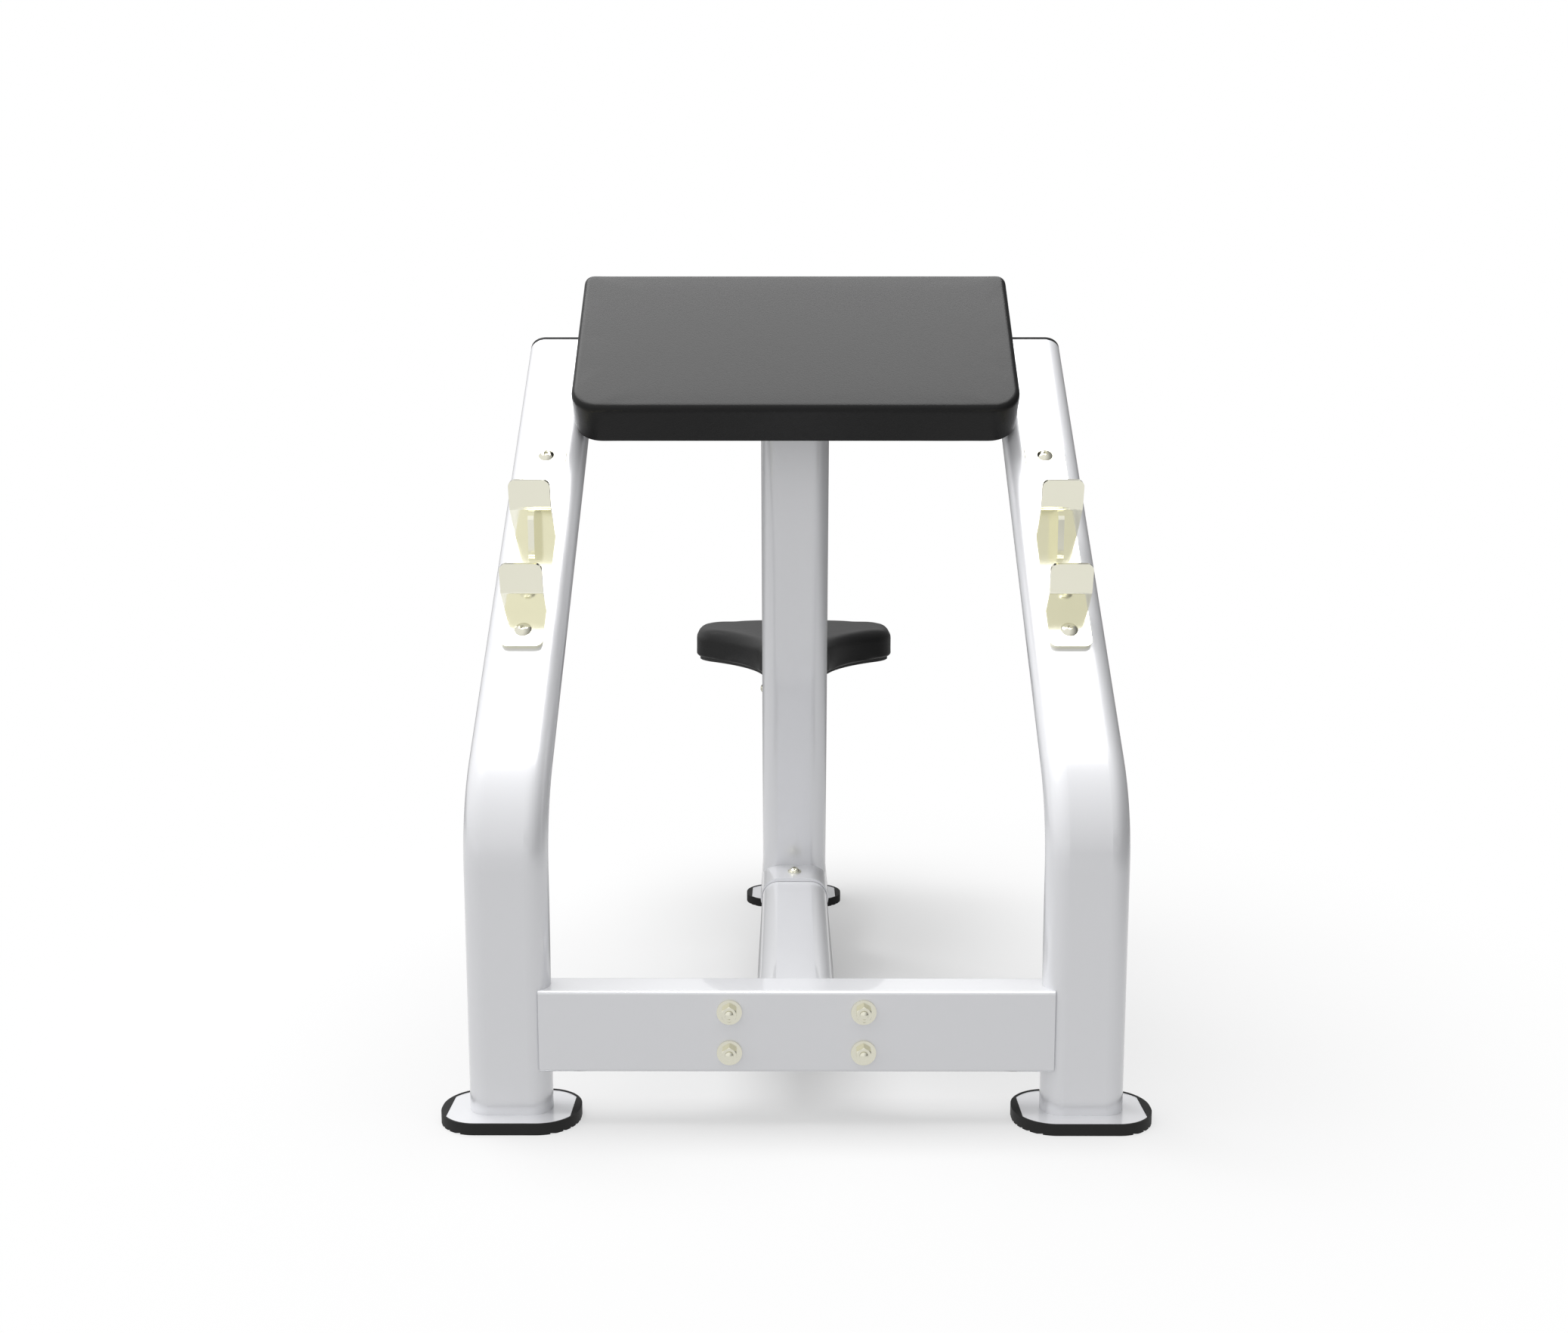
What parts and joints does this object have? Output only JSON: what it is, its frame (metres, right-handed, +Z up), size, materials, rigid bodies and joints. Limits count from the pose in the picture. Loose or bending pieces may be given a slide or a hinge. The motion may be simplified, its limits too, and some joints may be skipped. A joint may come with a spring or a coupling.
{
  "type": "preacher curl bench",
  "caption": "Preacher curl bench: flat-oval tube frame, padded arm rest, hooks for the bar and a seat that slides up and locks with a sprung pull pin.",
  "frame": {"origin": "on the floor, under the middle of the bench's width and depth", "axes": "+Z up; +Y from the bar catches towards the seat, the way a person in front looks at it; +X to that person's right"},
  "size_m": [0.856, 1.0968, 1.054],
  "materials": {
    "frame_paint": "gloss white-silver powder coat",
    "bright_steel": "polished nickel-coloured plating",
    "fastener_steel": "nickel-coloured plating",
    "upholstery": "black grained vinyl, satin",
    "rubber": "matte",
    "black_plastic": "matte",
    "board": "black backing board, matte"
  },
  "bodies": {
    "frame": {"left_upright": "frame_paint", "left_end_cap": "black_plastic", "left_catch_plate": "bright_steel", "left_upper_hook": "bright_steel", "left_lower_hook": "bright_steel", "left_hook_gusset": "bright_steel", "left_catch_bolts": "fastener_steel", "right_upright": "frame_paint", "right_end_cap": "black_plastic", "right_catch_plate": "bright_steel", "right_upper_hook": "bright_steel", "right_lower_hook": "bright_steel", "right_hook_gusset": "bright_steel", "right_catch_bolts": "fastener_steel", "left_foot_plate": "frame_paint", "left_foot_boot": "rubber", "right_foot_plate": "frame_paint", "right_foot_boot": "rubber", "rear_foot_plate": "frame_paint", "rear_foot_boot": "rubber", "front_crossbeam": "frame_paint", "spine_flange": "frame_paint", "spine_tube": "frame_paint", "rear_base_tube": "frame_paint", "top_cross_tube": "frame_paint", "pad_post": "frame_paint", "seat_column": "frame_paint", "pin_housing": "frame_paint", "pin_housing_cap": "frame_paint", "spine_bolts": "fastener_steel", "spine_washers": "fastener_steel", "spine_nuts": "fastener_steel", "sleeve_washer": "fastener_steel", "sleeve_screw": "fastener_steel", "pad_bolts": "fastener_steel", "bush_screw": "fastener_steel", "pin_spring": "fastener_steel", "pad_cushion": "upholstery", "pad_board": "board", "column_bush": "black_plastic"},
    "seat": {"seat_tube": "bright_steel", "seat_tube_plug": "black_plastic", "seat_bracket": "frame_paint", "seat_board": "board", "seat_cushion": "upholstery", "seat_screws": "fastener_steel"},
    "pull_pin": {"pull_pin": "fastener_steel", "pull_knob": "black_plastic"}
  },
  "joints": [
    {"name": "seat_height", "type": "slide", "parent": "frame", "child": "seat", "axis": [0, 0, 1], "range_m": [0, 0.15]},
    {"name": "pull_pin", "type": "slide", "parent": "frame", "child": "pull_pin", "axis": [0, 1, 0], "range_m": [0, 0.012], "stiffness_N_per_m": 1200, "springref_m": -0.006, "deforming": ["pin_spring"]}
  ]
}
